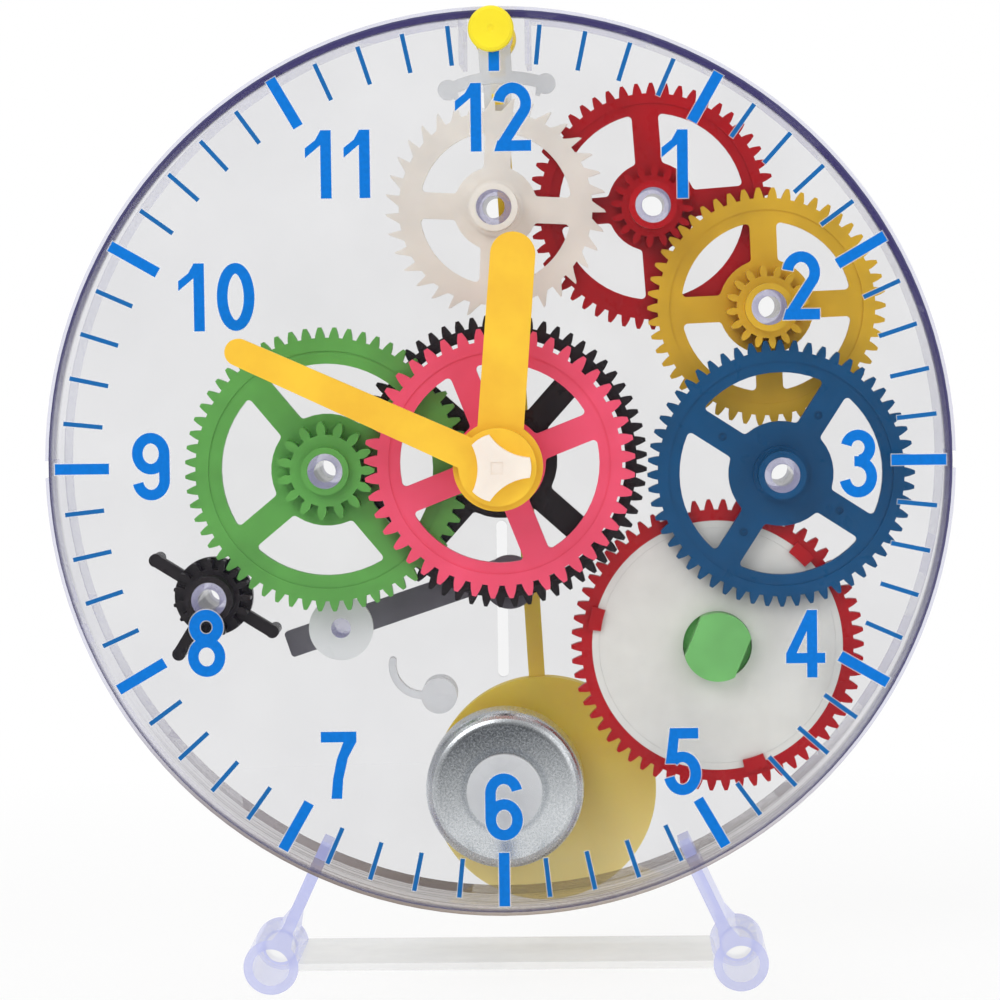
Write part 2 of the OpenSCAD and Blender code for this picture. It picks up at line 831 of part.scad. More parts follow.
// Outline of the anchor, its pivot at the origin, hanging straight down
module anchor_outline() {
    reach = pallet_angle + 3;
    polygon([
        [-stem_w / 2, 0], [stem_w / 2, 0],
        [stem_w / 2, escape_r + 4.5 - wheel_drop], [-stem_w / 2, escape_r + 4.5 - wheel_drop]
    ]);
    translate([0, -wheel_drop]) {
        arc_band(escape_r + 3, escape_r + 5.6, 90 - reach, 90 + reach);
        // Round shoulder at the end of each arm
        for (side = [-1, 1])
            translate(polar(escape_r + 4.3, 90 + side * (reach - 1))) circle(shoulder_r);
        for (side = [-1, 1]) rotate(side * pallet_angle) polygon([
            [-pallet_w / 2, escape_r + pallet_gap],
            [pallet_w / 2, escape_r + pallet_gap],
            [pallet_w / 2 + 0.4, escape_r + 3.6],
            [-pallet_w / 2 - 0.4, escape_r + 3.6]
        ]);
    }
}

module anchor() {
    fork_w = stem_w - 1;
    fork_back = level_e + 1.5;
    color(frosted) difference() {
        union() {
            slab(level_d, level_d + wheel_t) translate(pivot_at) rotate(rest_tilt)
                anchor_outline();
            disc(pivot_at, anchor_hub_r, level_b, hub_back);
            // Fork that takes the crutch peg, behind the escape wheel
            slab(level_d + wheel_t + end_gap, fork_back) translate(pivot_at) rotate(rest_tilt)
                translate([-fork_w / 2, -crutch_drop - 3]) square([fork_w, crutch_drop + 3]);
            slab(level_d + 1, fork_back) translate(pivot_at) rotate(rest_tilt)
                translate([-fork_w / 2, escape_r + 4.5 - wheel_drop])
                    square([fork_w, wheel_drop - escape_r - 4.5]);
        }
        slab(level_d, fork_back + 1) translate(pivot_at) rotate(rest_tilt)
            translate([0, -crutch_drop]) square(crutch_w + 2 * push_gap, center = true);
        disc(pivot_at, pivot_r + push_gap, level_b - 1, hub_back + 1);
    }
}

head_t = 2.6;

module pivot_pin() {
    color(cap_yellow) {
        disc(pivot_at, pivot_r, -end_gap - sink, rod_s + rod_t + 1);
        // Softly domed cap with a dimple
        translate([pivot_at.x, -end_gap - mid_s, axis_z + pivot_at.y]) rotate([90, 0, 0])
            rotate_extrude() polygon([
                [0, 0], [head_r, 0], [head_r, head_t - 0.9], [head_r - 0.25, head_t - 0.35],
                [head_r - 0.8, head_t], [0.9, head_t - 0.25], [0.35, head_t - 0.6],
                [0, head_t - 0.6]
            ]);
    }
}

rod_len = bob_drop + 18;

module pendulum_rod() {
    color(yellow) {
        difference() {
            union() {
                slab(rod_s, rod_s + rod_t) translate(pivot_at) rotate(rest_tilt)
                    translate([-rod_w / 2, -rod_len]) square([rod_w, rod_len]);
                disc(pivot_at, 4.6, case_depth + end_gap, rod_s + rod_t);
            }
            disc(pivot_at, pivot_r + push_gap, case_depth, rod_s + rod_t + 1);
        }
        // Crutch peg, forward through the rear plate into the anchor's fork
        slab(level_d + wheel_t + end_gap, rod_s + sink) translate(pivot_at) rotate(rest_tilt)
            translate([0, -crutch_drop]) square(crutch_w, center = true);
    }
}

module pendulum_bob() {
    slide = 0.1;
    color(yellow) difference() {
        slab(bob_s, bob_s + bob_t) translate(pivot_at) rotate(rest_tilt)
            translate([0, -bob_drop]) circle(bob_r);
        slab(rod_s - slide, rod_s + rod_t + slide) translate(pivot_at) rotate(rest_tilt)
            translate([-rod_w / 2 - slide, -bob_drop - bob_r - 1])
                square([rod_w + 2 * slide, 2 * bob_r + 2]);
    }
}

// ---- Bell and hammer ----

bell_front = level_b + 2.4;
bell_back = bell_front + bell_depth;
bell_edge = 3;
bell_post_r = 5;
bell_spigot_r = 2.4;
washer_t = 1.6;

// Half section of the bell: radius, depth from its flat top
function bell_arc(r) = [for (a = [90:-15:0])
    [bell_r - bell_edge + r * cos(a), bell_edge - r * sin(a)]];

module bell() {
    color(steel) translate([bell_at.x, bell_front - mid_s, axis_z + bell_at.y])
        rotate([-90, 0, 0]) rotate_extrude() polygon(concat(
            [[bell_spigot_r + push_gap, 0]],
            bell_arc(bell_edge),
            [[bell_r, bell_depth], [bell_r - bell_wall, bell_depth]],
            [for (i = [6:-1:0]) bell_arc(bell_edge - bell_wall)[i]],
            [[bell_spigot_r + push_gap, bell_wall]]
        ));
}

module bell_post() {
    color(clear) {
        disc(bell_at, bell_post_r, bell_front + bell_wall, rear_s);
        disc(bell_at, bell_spigot_r, bell_front - washer_t, bell_front + bell_wall + sink);
    }
}

module bell_washer() {
    color(clear) tube(bell_at, 8.3, bell_spigot_r + push_gap, bell_front - washer_t, bell_front);
}

lever_angle = 18.4;
lever_s = level_e + 0.5;
lever_t = 2;
tail_len = 12.7;
striker_out = 38.5;
striker_drop = 2.6;
lever_post_r = 2.2;
lever_hub_r = 4.4;
cap_disc_t = 1.7;
cap_s = lever_s - 1.4 - end_gap - cap_disc_t;

module hammer_lever() {
    color(lever_grey) difference() {
        union() {
            slab(lever_s, lever_s + lever_t) translate(lever_at) rotate(lever_angle) {
                translate([0.8 - tail_len, -lever_half])
                    square([tail_len + striker_out - 0.8, 2 * lever_half]);
                translate([-tail_len, 0.8 - lever_half])
                    square([2, 2 * (lever_half - 0.8)]);
                for (side = [-1, 1])
                    translate([0.8 - tail_len, side * (lever_half - 0.8)]) circle(0.8);
                translate([striker_out, -striker_drop]) circle(striker_r - 0.7);
            }
            disc(lever_at, lever_hub_r, lever_s - 1.4, hub_back);
        }
        disc(lever_at, lever_post_r + run_gap, lever_s - 2, hub_back + 1);
    }
}

module hammer_striker() {
    color(lever_grey) slab(lever_s - 2.6, lever_s) translate(lever_at) rotate(lever_angle)
        translate([striker_out, -striker_drop]) circle(striker_r);
}

module hammer_post() {
    color(clear) disc(lever_at, lever_post_r, cap_s, rear_s);
}

module hammer_cap() {
    color(frosted) tube(lever_at, 7.1, lever_post_r + push_gap, cap_s, cap_s + cap_disc_t);
}

stop_r = 3.95;
stop_arc_at = [-3.5, 6.9];
stop_arc_r = 6.8;
stop_arm_w = 1.6;

module hammer_stop() {
    color(frosted) {
        slab(lever_s - 0.5, rear_s) translate(stop_at) circle(stop_r);
        slab(lever_s - 0.5, lever_s + lever_t + 0.5) translate(stop_at + stop_arc_at) {
            arc_band(stop_arc_r - stop_arm_w / 2, stop_arc_r + stop_arm_w / 2, 172, 275);
            translate(polar(stop_arc_r, 172)) circle(stop_arm_w / 2);
        }
    }
}

// ---- Hands ----

// A hand pointing up: a straight sided blade with a round tip
module blade(len, w, tip_w) {
    polygon([
        [-w / 2, 0], [w / 2, 0],
        [tip_w / 2, len - tip_w / 2], [-tip_w / 2, len - tip_w / 2]
    ]);
    translate([0, len - tip_w / 2]) circle(tip_w / 2);
}

hour_boss_r = 9.6;
minute_boss_r = 8.3;

module hour_hand() {
    color(hand_yellow) slab(hour_s - hand_t, hour_s) difference() {
        union() {
            circle(hour_boss_r);
            rotate(-hour_angle) blade(hour_len, hour_w, hour_w - 0.3);
        }
        circle(hour_tube_r + push_gap);
    }
}

module minute_hand() {
    color(hand_yellow) slab(minute_s - hand_t, minute_s) difference() {
        union() {
            circle(minute_boss_r);
            rotate(-minute_angle) blade(minute_len, minute_w, minute_w - 1.3);
        }
        circle(minute_tube_r + push_gap);
    }
}

module hand_cap() {
    arm_r = 7.2;
    hollow_r = 10.9;
    waist_r = 4.1;
    color(cream) {
        difference() {
            slab(cap_front, minute_s - hand_t) difference() {
                circle(arm_r);
                for (i = [0:2])
                    rotate(60 + 120 * i) translate([waist_r + hollow_r, 0]) circle(hollow_r);
            }
            // Shallow square in the middle of the cap
            slab(cap_front - 1, cap_front + 0.25) square(2.6, center = true);
        }
        disc([0, 0], centre_r, minute_s - hand_t - sink, minute_s - push_gap);
    }
}

hand_cap();
minute_hand();
hour_hand();
front_plate();
case_rim();
rear_plate();
wheel_posts();
centre_post();
left_leg();
right_leg();
cross_bar();
minute_wheel();
hour_wheel();
motion_wheel();
strike_star();
barrel_gear();
barrel_drum();
drum_cover();
mainspring();
winding_arbor();
winding_key();
ratchet_wheel();
click();
click_post();
second_wheel();
third_wheel();
fourth_wheel();
escape_wheel();
anchor();
pivot_pin();
pendulum_rod();
pendulum_bob();
bell();
bell_post();
bell_washer();
hammer_lever();
hammer_striker();
hammer_post();
hammer_cap();
hammer_stop();
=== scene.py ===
"""Looks of the geared teaching clock: materials, the printed dial, lights and the camera.
Metres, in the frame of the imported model: X right, Z up, the dial faces -Y."""
import math

import bmesh
import bpy
from mathutils import Matrix, Vector
from mathutils.geometry import delaunay_2d_cdt


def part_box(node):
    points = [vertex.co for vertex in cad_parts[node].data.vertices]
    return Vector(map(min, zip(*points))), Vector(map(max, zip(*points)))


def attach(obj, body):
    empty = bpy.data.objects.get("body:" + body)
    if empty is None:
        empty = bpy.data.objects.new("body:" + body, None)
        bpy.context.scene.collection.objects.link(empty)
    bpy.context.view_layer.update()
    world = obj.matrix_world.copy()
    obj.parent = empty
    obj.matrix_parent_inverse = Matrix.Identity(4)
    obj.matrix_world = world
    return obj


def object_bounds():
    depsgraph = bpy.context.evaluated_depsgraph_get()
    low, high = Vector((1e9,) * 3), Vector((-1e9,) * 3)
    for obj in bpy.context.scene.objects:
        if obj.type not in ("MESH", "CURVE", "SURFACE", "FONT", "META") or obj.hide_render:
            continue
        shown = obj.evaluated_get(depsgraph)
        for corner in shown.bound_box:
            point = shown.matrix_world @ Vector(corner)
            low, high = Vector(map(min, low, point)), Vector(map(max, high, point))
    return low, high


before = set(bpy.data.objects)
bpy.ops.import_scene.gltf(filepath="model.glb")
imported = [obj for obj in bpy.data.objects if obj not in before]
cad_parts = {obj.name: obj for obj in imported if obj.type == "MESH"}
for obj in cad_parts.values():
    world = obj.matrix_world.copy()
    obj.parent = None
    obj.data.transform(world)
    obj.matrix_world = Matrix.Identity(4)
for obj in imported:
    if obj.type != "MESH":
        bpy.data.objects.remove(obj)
cad_low, cad_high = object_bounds()

MM = 0.001

# ---- Places read from the frame ----

plate_low, plate_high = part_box("front_plate")
DIAL_X = (plate_low.x + plate_high.x) / 2
DIAL_Z = (plate_low.z + plate_high.z) / 2
DIAL_Y = plate_low.y


def dial_point(x_mm, z_mm, out_mm=0.0):
    """A point given from the dial's centre, as seen from the front, that far before the dial."""
    return Vector((DIAL_X + x_mm * MM, DIAL_Y - out_mm * MM, DIAL_Z + z_mm * MM))


# ---- Camera, at the photograph's angle ----

CAMERA_X, CAMERA_Y, CAMERA_Z = 21.9, -775.0, 40.0
CAMERA_PITCH, CAMERA_YAW, CAMERA_ROLL = math.radians(3.518), math.radians(-1.611), math.radians(-0.748)
LENS_PER_WIDTH = 3.609
SENSOR_MM = 36.0


def make_camera():
    cp, sp = math.cos(CAMERA_PITCH), math.sin(CAMERA_PITCH)
    cy, sy = math.cos(CAMERA_YAW), math.sin(CAMERA_YAW)
    cr, sr = math.cos(CAMERA_ROLL), math.sin(CAMERA_ROLL)
    forward = Vector((sy * cp, cy * cp, -sp))
    level = Vector((cy, -sy, 0))
    upright = level.cross(forward)
    right = cr * level + sr * upright
    up = cr * upright - sr * level
    data = bpy.data.cameras.new("camera")
    data.sensor_width = SENSOR_MM
    data.lens = SENSOR_MM * LENS_PER_WIDTH
    data.clip_start = 0.01
    camera = bpy.data.objects.new("camera", data)
    turn = Matrix((right, up, -forward)).transposed().to_4x4()
    place = Matrix.Translation(dial_point(CAMERA_X, CAMERA_Z, -CAMERA_Y))
    camera.matrix_world = place @ turn
    bpy.context.scene.collection.objects.link(camera)
    bpy.context.scene.camera = camera


make_camera()

# ---- Material building blocks ----


def linear(rgb):
    """A colour of 0 to 255 steps as the shader's linear colour."""
    def one(v):
        v /= 255
        return v / 12.92 if v <= 0.04045 else ((v + 0.055) / 1.055) ** 2.4
    return (*[one(v) for v in rgb], 1.0)


def new_material(name):
    material = bpy.data.materials.new(name)
    material.use_nodes = True
    tree = material.node_tree
    return material, tree, tree.nodes["Principled BSDF"]


def node(tree, kind, **values):
    made = tree.nodes.new(kind)
    for key, value in values.items():
        setattr(made, key, value)
    return made


def noise(tree, scale, detail=3.0, rough=0.55, stretch=(1, 1, 1)):
    """Noise over the piece's own coordinates; scale is in bumps per metre."""
    where = node(tree, "ShaderNodeTexCoord")
    size = node(tree, "ShaderNodeMapping")
    size.inputs["Scale"].default_value = stretch
    made = node(tree, "ShaderNodeTexNoise")
    made.inputs["Scale"].default_value = scale
    made.inputs["Detail"].default_value = detail
    made.inputs["Roughness"].default_value = rough
    tree.links.new(where.outputs["Object"], size.inputs["Vector"])
    tree.links.new(size.outputs["Vector"], made.inputs["Vector"])
    return made.outputs["Fac"]


def spread(tree, value, low, high, from_low=0.3, from_high=0.7):
    """Maps a value's span from_low to from_high onto low to high, and holds it there."""
    made = node(tree, "ShaderNodeMapRange")
    made.inputs["From Min"].default_value = from_low
    made.inputs["From Max"].default_value = from_high
    made.inputs["To Min"].default_value = low
    made.inputs["To Max"].default_value = high
    tree.links.new(value, made.inputs["Value"])
    return made.outputs["Result"]


def blend_colours(tree, factor, first, second):
    made = node(tree, "ShaderNodeMix", data_type="RGBA")
    for slot in made.inputs:
        if slot.name == "Factor" and slot.type == "VALUE":
            tree.links.new(factor, slot)
            break
    colours = [slot for slot in made.inputs if slot.type == "RGBA"]
    for slot, value in zip(colours, (first, second)):
        if isinstance(value, tuple):
            slot.default_value = value
        else:
            tree.links.new(value, slot)
    return [slot for slot in made.outputs if slot.type == "RGBA"][0]


def bump(tree, shader, height, distance, strength=1.0):
    made = node(tree, "ShaderNodeBump")
    made.inputs["Distance"].default_value = distance
    made.inputs["Strength"].default_value = strength
    tree.links.new(height, made.inputs["Height"])
    tree.links.new(made.outputs["Normal"], shader.inputs["Normal"])


def shade(rgb, share):
    return tuple(max(0, min(255, v * share)) for v in rgb)


def moulded(name, rgb, rough=0.36, mottle=0.06, grain=0.00002, coat=0.0, glow=0.0):
    """Opaque moulded plastic: faint flow marks in the colour, a fine grain and uneven gloss."""
    material, tree, shader = new_material(name)
    flow = noise(tree, 90, detail=4, stretch=(1, 0.6, 1))
    colour = blend_colours(tree, spread(tree, flow, 0, 1), linear(shade(rgb, 1 - mottle)),
                           linear(shade(rgb, 1 + mottle)))
    tree.links.new(colour, shader.inputs["Base Color"])
    tree.links.new(spread(tree, noise(tree, 260), rough - 0.07, rough + 0.09),
                   shader.inputs["Roughness"])
    bump(tree, shader, noise(tree, 2600, detail=2), grain, 0.6)
    shader.inputs["Specular IOR Level"].default_value = 0.3
    shader.inputs["Coat Weight"].default_value = coat
    shader.inputs["Coat Roughness"].default_value = 0.12
    if glow:
        shader.inputs["Subsurface Weight"].default_value = glow
        shader.inputs["Subsurface Radius"].default_value = (0.003, 0.0026, 0.0022)
        shader.inputs["Subsurface Scale"].default_value = 0.6
    return material


# Radii and heights in mm where a look begins and is full
BORDER_R = (95.4, 95.9)
OUTER_LINE_R = (96.7, 97.0)
BORDER_RISE = (-75, 70)
RIM_FOOT = (55, 96)
RIM_LINES = (40, 90)
BELL_FACE_R = (14.6, 15.8)
BELL_SHADOW_R = (8.6, 9.6)
BELL_RISE = (-7, 12.5)
BOB_FALL = (-12, 16)


def maths(tree, operation, first, second, clamp=False):
    """One sum of two sockets or numbers."""
    made = node(tree, "ShaderNodeMath", operation=operation, use_clamp=clamp)
    for slot, value in zip(made.inputs, (first, second)):
        if isinstance(value, (int, float)):
            slot.default_value = value
        else:
            tree.links.new(value, slot)
    return made.outputs[0]


def place_mm(tree, right, up, centre=None):
    """How far a point of the piece lies that way from a centre, the dial's by default, in mm."""
    where = node(tree, "ShaderNodeTexCoord")
    away = node(tree, "ShaderNodeVectorMath", operation="SUBTRACT")
    away.inputs[1].default_value = centre or (DIAL_X, 0, DIAL_Z)
    tree.links.new(where.outputs["Object"], away.inputs[0])
    along = node(tree, "ShaderNodeVectorMath", operation="DOT_PRODUCT")
    along.inputs[1].default_value = (right / MM, 0, up / MM)
    tree.links.new(away.outputs[0], along.inputs[0])
    return along.outputs["Value"]


def radius_mm(tree, centre=None):
    """How far a point of the piece lies from the axis through a centre, in mm."""
    across, up = place_mm(tree, 1, 0, centre), place_mm(tree, 0, 1, centre)
    squares = maths(tree, "ADD", maths(tree, "MULTIPLY", across, across),
                    maths(tree, "MULTIPLY", up, up))
    return maths(tree, "SQRT", squares, 0.0)


def ring_mask(tree, inner, outer, soft, centre=None):
    """1 between two radii in mm, 0 elsewhere."""
    radius = radius_mm(tree, centre)
    return maths(tree, "MULTIPLY", spread(tree, radius, 0, 1, inner - soft, inner + soft),
                 spread(tree, radius, 1, 0, outer - soft, outer + soft))


def painted_reflection_border(tree):
    """Painted dark reflection on the plate's edge, most of all at its upper right."""
    ring = spread(tree, radius_mm(tree), 0, 1, *BORDER_R)
    lit = spread(tree, place_mm(tree, 0.3, 0.95), 0.0, 1.0, *BORDER_RISE)
    return maths(tree, "MULTIPLY", ring, lit)


def painted_edge_shade(tree):
    """Painted shade: a fine dark line where the plate's edge turns away."""
    return spread(tree, radius_mm(tree), 0, 1, *OUTER_LINE_R)


def painted_foot_reflection(tree):
    """The lowest part of the rim, where a warm grey reflection is painted on its wall."""
    return spread(tree, place_mm(tree, 0, -1), 0, 1, *RIM_FOOT)


def wall_lines(tree):
    """Fine lines round the lowest part of the wall."""
    lines = spread(tree, noise(tree, 1, detail=2, stretch=(6, 620, 6)), 0, 1, 0.5, 0.62)
    return maths(tree, "MULTIPLY", lines, spread(tree, place_mm(tree, 0, -1), 0, 1, *RIM_LINES))


def see_through(name, rgb, body, edge, tint=(255, 255, 255), rough=0.08, face=0.0, mottle=0.02,
                zones=()):
    """Clear plastic: it shows what is behind it, takes colour at a slant, and lets light through.

    body and edge are the shares that don't show through, seen straight on and at a slant. face
    adds to that on the surfaces that face front and back, and each of zones, as where it lies,
    its colour and its share, where it lies."""
    material, tree, shader = new_material(name)
    shader.inputs["IOR"].default_value = 1.49
    tree.links.new(spread(tree, noise(tree, 60), rough * 0.6, rough * 1.6),
                   shader.inputs["Roughness"])
    slant = node(tree, "ShaderNodeLayerWeight")
    slant.inputs["Blend"].default_value = 0.35
    share = spread(tree, slant.outputs["Facing"], body, edge, 0.0, 1.0)
    where = node(tree, "ShaderNodeTexCoord")
    normal = node(tree, "ShaderNodeSeparateXYZ")
    tree.links.new(where.outputs["Normal"], normal.inputs["Vector"])
    depth = maths(tree, "ABSOLUTE", normal.outputs["Y"], 0.0)
    share = maths(tree, "ADD", share, spread(tree, depth, 0.0, face, 0.7, 0.95))
    share = maths(tree, "ADD", share, spread(tree, noise(tree, 45, detail=4), -mottle, mottle))
    flow = spread(tree, noise(tree, 70, detail=4), 0, 1)
    colour = blend_colours(tree, flow, linear(shade(rgb, 0.97)), linear(shade(rgb, 1.03)))
    for place, zone_rgb, zone_share in zones:
        mask = place(tree)
        share = maths(tree, "ADD", share, maths(tree, "MULTIPLY", mask, zone_share))
        colour = blend_colours(tree, mask, colour, linear(zone_rgb))
    tree.links.new(colour, shader.inputs["Base Color"])
    total = maths(tree, "MAXIMUM", share, 0.0, clamp=True)
    behind = node(tree, "ShaderNodeBsdfTransparent")
    behind.inputs["Color"].default_value = linear(tint)
    seen = node(tree, "ShaderNodeMixShader")
    tree.links.new(total, seen.inputs[0])
    tree.links.new(behind.outputs[0], seen.inputs[1])
    tree.links.new(shader.outputs[0], seen.inputs[2])
    path = node(tree, "ShaderNodeLightPath")
    unseen = maths(tree, "MAXIMUM", path.outputs["Is Shadow Ray"], path.outputs["Is Diffuse Ray"])
    open_way = node(tree, "ShaderNodeBsdfTransparent")
    mix = node(tree, "ShaderNodeMixShader")
    tree.links.new(unseen, mix.inputs[0])
    tree.links.new(seen.outputs[0], mix.inputs[1])
    tree.links.new(open_way.outputs[0], mix.inputs[2])
    tree.links.new(mix.outputs[0], tree.nodes["Material Output"].inputs["Surface"])
    return material


def bell_metal():
    """Galvanised steel: fine spangle, painted dark reflection where the cup faces up, painted pale
    reflection and highlight round its edge.
    """
    low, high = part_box("bell")
    centre = ((low.x + high.x) / 2, 0, (low.z + high.z) / 2)
    material, tree, shader = new_material("bell_steel")
    spots = spread(tree, noise(tree, 1900, detail=4, rough=0.8), 0, 1, 0.35, 0.65)
    # Lit and shaded copies of the steel for the painted reflections: pale lower down and round the edge,
    # dark where the cup faces up
    pale = blend_colours(tree, spots, linear((216, 221, 225)), linear((243, 246, 248)))
    dark = blend_colours(tree, spots, linear((72, 76, 80)), linear((150, 154, 158)))
    height = spread(tree, place_mm(tree, -0.2, 0.98, centre), 0, 1, *BELL_RISE)
    inside_edge = spread(tree, radius_mm(tree, centre), 1, 0, *BELL_FACE_R)
    colour = blend_colours(tree, maths(tree, "MULTIPLY", height, inside_edge), pale, dark)
    # A painted shadow ring near the bell's centre
    shadow_line = ring_mask(tree, *BELL_SHADOW_R, 0.5, centre)
    colour = blend_colours(tree, maths(tree, "MULTIPLY", shadow_line, 0.35), colour,
                           linear((110, 120, 132)))
    tree.links.new(colour, shader.inputs["Base Color"])
    shader.inputs["Metallic"].default_value = 1.0
    tree.links.new(spread(tree, spots, 0.34, 0.22, 0, 1), shader.inputs["Roughness"])
    bump(tree, shader, spots, 0.000006, 0.4)
    return material


def bob_plastic():
    """The bob's and rod's yellow, paler towards its foot."""
    low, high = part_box("pendulum_bob")
    centre = ((low.x + high.x) / 2, 0, (low.z + high.z) / 2)
    material = moulded("bob_plastic", (255, 216, 62), rough=0.4, mottle=0.03, glow=0.3)
    tree = material.node_tree
    base = tree.nodes["Principled BSDF"].inputs["Base Color"]
    upper = base.links[0].from_socket
    foot = spread(tree, place_mm(tree, 0, -1, centre), 0, 1, *BOB_FALL)
    tree.links.new(blend_colours(tree, foot, upper, linear((255, 230, 148))), base)
    return material


def metal(name, rgb, rough, speckle, scale):
    """Plated sheet metal with a spangled finish."""
    material, tree, shader = new_material(name)
    spots = noise(tree, scale, detail=5, rough=0.7)
    colour = blend_colours(tree, spread(tree, spots, 0, 1), linear(shade(rgb, 1 - speckle)),
                           linear(shade(rgb, 1 + speckle)))
    tree.links.new(colour, shader.inputs["Base Color"])
    shader.inputs["Metallic"].default_value = 1.0
    tree.links.new(spread(tree, spots, rough * 1.5, rough * 0.7), shader.inputs["Roughness"])
    bump(tree, shader, spots, 0.00001, 0.5)
    return material


def printed(name, rgb):
    """Screen-printed ink, slightly uneven."""
    material, tree, shader = new_material(name)
    wear = noise(tree, 900, detail=3)
    colour = blend_colours(tree, spread(tree, wear, 0, 1), linear(shade(rgb, 0.97)),
                           linear(shade(rgb, 1.04)))
    tree.links.new(colour, shader.inputs["Base Color"])
    tree.links.new(spread(tree, noise(tree, 400), 0.35, 0.55), shader.inputs["Roughness"])
    shader.inputs["Specular IOR Level"].default_value = 0.1
    return material


# ---- Materials ----

# The front plate's border zone is a painted dark reflection, and its fine edge line is painted shade
CLEAR = see_through("clear_plastic", (52, 52, 68), 0.05, 0.4, mottle=0.008,
                    zones=[(painted_reflection_border, (52, 44, 100), 0.85), (painted_edge_shade, (72, 70, 112), 0.42)])
BACK = see_through("back_plastic", (120, 120, 140), 0.085, 0.4, mottle=0.012)
# The rim's warm grey foot zone is a painted reflection
RIM = see_through("rim_plastic", (190, 190, 222), 0.05, 0.22, face=0.35,
                  zones=[(painted_foot_reflection, (142, 122, 106), 0.2), (wall_lines, (104, 88, 78), 0.4)])
LEG = see_through("leg_plastic", (178, 184, 240), 0.16, 0.40, face=0.36)
BAR = see_through("bar_plastic", (250, 251, 252), 0.40, 0.68)
POST = see_through("post_plastic", (176, 174, 222), 0.40, 0.75)
FROSTED = see_through("frosted_plastic", (214, 216, 220), 0.62, 0.85, rough=0.35, mottle=0.05)
MILKY = see_through("milky_plastic", (228, 230, 232), 0.88, 0.95, rough=0.3, mottle=0.03)
GREEN = moulded("green_plastic", (98, 168, 80), glow=0.1)
PINK = moulded("pink_plastic", (255, 86, 118), glow=0.15)
BLACK = moulded("black_plastic", (30, 25, 27), rough=0.3, mottle=0.15)
BLUE = moulded("blue_plastic", (0, 74, 120), rough=0.32)
YELLOW = moulded("yellow_plastic", (216, 172, 44), glow=0.1)
RED = moulded("red_plastic", (176, 8, 20), rough=0.3)
CREAM = moulded("cream_plastic", (236, 230, 222), rough=0.42, mottle=0.03, glow=0.3)
HAND_CAP = moulded("hand_cap_plastic", (248, 236, 224), rough=0.42, mottle=0.02, glow=0.3)
DRUM = moulded("drum_plastic", (226, 225, 220), rough=0.45, mottle=0.03, glow=0.1)
HAND = moulded("hand_plastic", (255, 198, 56), rough=0.4, mottle=0.04, glow=0.1)
BOB = bob_plastic()
CAP = moulded("cap_plastic", (252, 228, 40), rough=0.4, mottle=0.03, glow=0.1)
KEY = moulded("key_plastic", (118, 190, 110), rough=0.4, glow=0.1)
LEVER = moulded("lever_plastic", (106, 104, 112), rough=0.5, mottle=0.12)
BELL = bell_metal()
SPRING = metal("spring_steel", (150, 152, 160), rough=0.3, speckle=0.08, scale=400)
PRINT = printed("dial_print", (8, 118, 212))
PRINT_FINE = printed("tick_print", (26, 104, 172))
HALO = see_through("print_edge", (236, 243, 250), 0.35, 0.5, rough=0.4)

LOOKS = {
    "front_plate": CLEAR, "rear_plate": BACK, "cross_bar": BAR, "case_rim": RIM,
    "left_leg": LEG, "right_leg": LEG, "wheel_posts": POST, "centre_post": POST,
    "bell": BELL, "bell_post": MILKY, "bell_washer": MILKY,
    "hammer_post": POST, "hammer_cap": MILKY, "hammer_stop": FROSTED, "click_post": POST,
    "barrel_gear": RED, "barrel_drum": DRUM, "drum_cover": DRUM, "mainspring": SPRING,
    "winding_arbor": KEY, "winding_key": KEY, "ratchet_wheel": KEY, "click": KEY,
    "minute_wheel": BLACK, "minute_hand": HAND, "hour_hand": HAND, "hand_cap": HAND_CAP,
    "hour_wheel": PINK, "motion_wheel": GREEN, "strike_star": BLACK,
    "second_wheel": BLUE, "third_wheel": YELLOW, "fourth_wheel": RED, "escape_wheel": CREAM,
    "anchor": FROSTED, "pivot_pin": CAP, "pendulum_rod": BOB, "pendulum_bob": BOB,
    "hammer_lever": LEVER, "hammer_striker": LEVER,
}


def dress(name, material):
    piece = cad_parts[name]
    if not piece.material_slots:
        piece.data.materials.append(material)
    for place in piece.material_slots:
        place.material = material


for part_name, look in LOOKS.items():
    dress(part_name, look)

SOFT_EDGES = {
    "minute_hand": 0.5, "hour_hand": 0.5, "hand_cap": 0.5, "pivot_pin": 0.8,
    "hour_wheel": 0.2, "motion_wheel": 0.2, "second_wheel": 0.2, "third_wheel": 0.2,
    "fourth_wheel": 0.2, "escape_wheel": 0.15, "minute_wheel": 0.2, "barrel_gear": 0.15,
    "strike_star": 0.2, "winding_arbor": 0.4, "winding_key": 0.4, "barrel_drum": 0.4,
    "pendulum_bob": 0.6, "pendulum_rod": 0.3, "hammer_lever": 0.3, "anchor": 0.3,
    "left_leg": 0.3, "right_leg": 0.3, "cross_bar": 0.3, "front_plate": 0.25,
}


def soften(name, radius_mm):
    """Rounds a node's sharp edges."""
    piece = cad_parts[name]
    edge = piece.modifiers.new("soft_edges", "BEVEL")
    edge.width = radius_mm * MM
    edge.segments = 2
    edge.limit_method = "ANGLE"
    edge.angle_limit = math.radians(50)
    edge.use_clamp_overlap = True
    edge.harden_normals = False


for part_name, radius in SOFT_EDGES.items():
    soften(part_name, radius)

# ---- The printed dial ----

DIGIT_H = 14.6
DIGIT_W = 8.1
STROKE = 2.3
HALO_W = 0.22
INK_T = 0.05


def arc(cx, cy, rx, ry, start, end, steps=20):
    """Points on an ellipse between two angles in degrees."""
    turns = [math.radians(start + (end - start) * i / steps) for i in range(steps + 1)]
    return [(cx + rx * math.cos(a), cy + ry * math.sin(a)) for a in turns]


